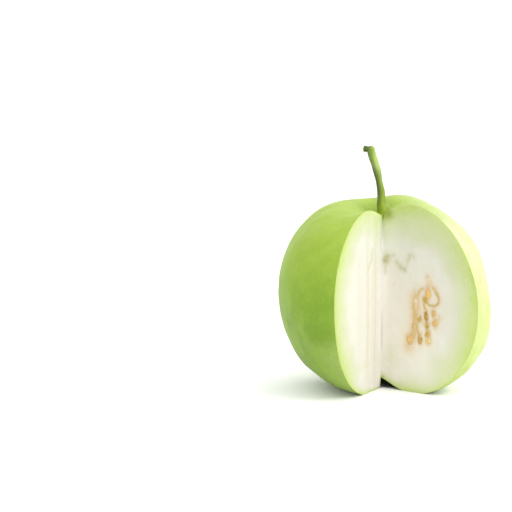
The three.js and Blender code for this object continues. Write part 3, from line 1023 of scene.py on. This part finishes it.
def build_seed_band(material):
    """The band and its strands, sunk into the right cut face up to a low ridge."""
    parts = []
    for index, (radius, *points) in enumerate(STRANDS):
        sink = radius * MM - STRAND_PROUD
        line = np.array([on_right_face(a * MM, h * MM, sink) for a, h in points])
        length = np.linalg.norm(np.diff(line, axis=0), axis=1).sum()
        count = max(STRAND_LEAST_STEPS, int(length / STRAND_STEP))
        line = curve_points(line, count)
        wobble = STRAND_SWELL + STRAND_WOBBLE * ripples(line, 2.4 * MM, seed=60 + index)
        radii = radius * MM * wobble * round_off(count, radius * MM, length)
        tube_points, faces, place = tube(line, radii, STRAND_SIDES)
        dents = STRAND_DENTS * ripples(tube_points, 1.2 * MM, seed=80)
        tube_points = tube_points + dents[:, None] * FACE_OUTWARDS
        pale = STRAND_PALENESS[index] + STRAND_FADES[index] * (1 - smooth(place, 0.0, 0.3))
        olive = STRAND_OLIVE[index] * smooth(place, 0.15, 0.5)
        parts.append((tube_points, faces, {"pale": pale, "olive": olive}))
    points, faces, values = join(parts)
    return build_object("seed_band", points, faces, [material], attributes=values)


def seed_shape(along, height, length, width, lean, number):
    """An ovoid seed with a flattened, dented coat, lying in the right cut face."""
    latitudes = np.linspace(-math.pi / 2, math.pi / 2, SEED_ROWS + 1)
    turns = np.linspace(0, 2 * math.pi, SEED_COLUMNS + 1)
    turns[-1] = 0
    latitude, turn = np.meshgrid(latitudes, turns, indexing="ij")
    ball = [np.cos(latitude) * np.cos(turn), np.cos(latitude) * np.sin(turn), np.sin(latitude)]
    ball = np.stack(ball, -1).reshape(-1, 3)
    lumps = 1 + SEED_LUMPS * ripples(ball, SEED_LUMP_SIZE, seed=90 + number)
    ball = ball * lumps[:, None]
    taper = 1 - SEED_TAPER * ball[:, 2:3]
    scaled = ball * np.array([width / 2, SEED_DEPTH / 2, length / 2])
    scaled[:, :2] *= taper
    tilt = math.radians(lean)
    across = scaled[:, 0] * math.cos(tilt) + scaled[:, 2] * math.sin(tilt)
    up = scaled[:, 2] * math.cos(tilt) - scaled[:, 0] * math.sin(tilt)
    centre = on_right_face(along, height, SEED_SINK)
    points = centre + across[:, None] * on_right_face(1, 0) - scaled[:, 1:2] * FACE_OUTWARDS
    points[:, 2] += up
    return points, [list(f) for f in grid_faces(SEED_ROWS, SEED_COLUMNS)]


def build_seeds(material):
    parts = []
    for number, (along, height, length, width, lean, tint) in enumerate(SEEDS):
        size = (length * SEED_SWELL * MM, width * SEED_SWELL * MM)
        points, faces = seed_shape(along * MM, height * MM, *size, lean, number)
        parts.append((points, faces, {"tint": np.full(len(points), tint)}))
    points, faces, values = join(parts)
    return build_object("seed_grains", points, faces, [material], attributes=values)


def build_floor(material):
    half = 4
    mesh = bpy.data.meshes.new("floor")
    corners = [(-half, -half, 0), (half, -half, 0), (half, half, 0), (-half, half, 0)]
    mesh.from_pydata(corners, [], [(0, 1, 2, 3)])
    mesh.materials.append(material)
    floor = bpy.data.objects.new("floor", mesh)
    bpy.context.scene.collection.objects.link(floor)


def build_camera():
    camera = bpy.data.objects.new("camera", bpy.data.cameras.new("camera"))
    bpy.context.scene.collection.objects.link(camera)
    camera.data.sensor_width = SENSOR
    camera.data.lens = SENSOR * FOCAL_PIXELS / FRAME_PIXELS
    per_pixel = CAMERA_DISTANCE / FOCAL_PIXELS
    forward = Vector((0, math.cos(CAMERA_ELEVATION), -math.sin(CAMERA_ELEVATION)))
    upward = Vector((0, math.sin(CAMERA_ELEVATION), math.cos(CAMERA_ELEVATION)))
    sideways = Vector((1, 0, 0))
    fruit = Vector(CORE) + Vector((0, 0, AIM_Z))
    beside = (FRUIT_X_PIXELS - FRAME_PIXELS / 2) * per_pixel
    below = (FRUIT_Y_PIXELS - FRAME_PIXELS / 2) * per_pixel
    camera.location = fruit - forward * CAMERA_DISTANCE - sideways * beside + upward * below
    camera.rotation_euler = (math.pi / 2 - CAMERA_ELEVATION, 0, 0)
    camera.data.clip_start = 0.01
    bpy.context.scene.camera = camera


def area_light(name, place, power):
    """A round lamp that points at the fruit."""
    light = bpy.data.objects.new(name, bpy.data.lights.new(name, "AREA"))
    bpy.context.scene.collection.objects.link(light)
    light.data.shape = "DISK"
    light.data.size = LAMP_SIZE
    light.data.energy = power
    light.location = place
    light.rotation_euler = (Vector(LAMP_TARGET) - Vector(place)).to_track_quat("-Z", "Y").to_euler()


def build_world():
    """A white room that is dimmer on the left."""
    world = bpy.data.worlds.new("studio")
    world.use_nodes = True
    tree = world.node_tree
    split = tree.nodes.new("ShaderNodeSeparateXYZ")
    tree.links.new(tree.nodes.new("ShaderNodeTexCoord").outputs["Generated"], split.inputs["Vector"])
    span = tree.nodes.new("ShaderNodeMapRange")
    ends = {"From Min": -1, "From Max": -0.25, "To Min": DIM_SIDE, "To Max": ROOM_LIGHT}
    for key, value in ends.items():
        span.inputs[key].default_value = value
    tree.links.new(split.outputs["X"], span.inputs["Value"])
    background = tree.nodes["Background"]
    background.inputs["Color"].default_value = (1, 1, 1, 1)
    tree.links.new(span.outputs["Result"], background.inputs["Strength"])
    bpy.context.scene.world = world


def build_lights():
    bpy.context.scene.view_settings.view_transform = "Standard"
    build_world()
    area_light("key", KEY_PLACE, KEY_POWER)
    area_light("rim", RIM_PLACE, RIM_POWER)


fruit = build_fruit(skin_material(), flesh_material())
stem = build_stem(stem_material())
calyx = build_calyx(calyx_material())
band = build_seed_band(pulp_material())
grains = build_seeds(seed_material())
for piece, node, slot in (
    (fruit, "fruit", "skin_and_flesh"), (stem, "stem", "stalk"), (calyx, "calyx", "dried_calyx"),
    (band, "seeds", "seed_tan"), (grains, "seeds", "seed_tan"),
):
    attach(piece, "root")
    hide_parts(node)

build_floor(floor_material())
build_camera()
build_lights()
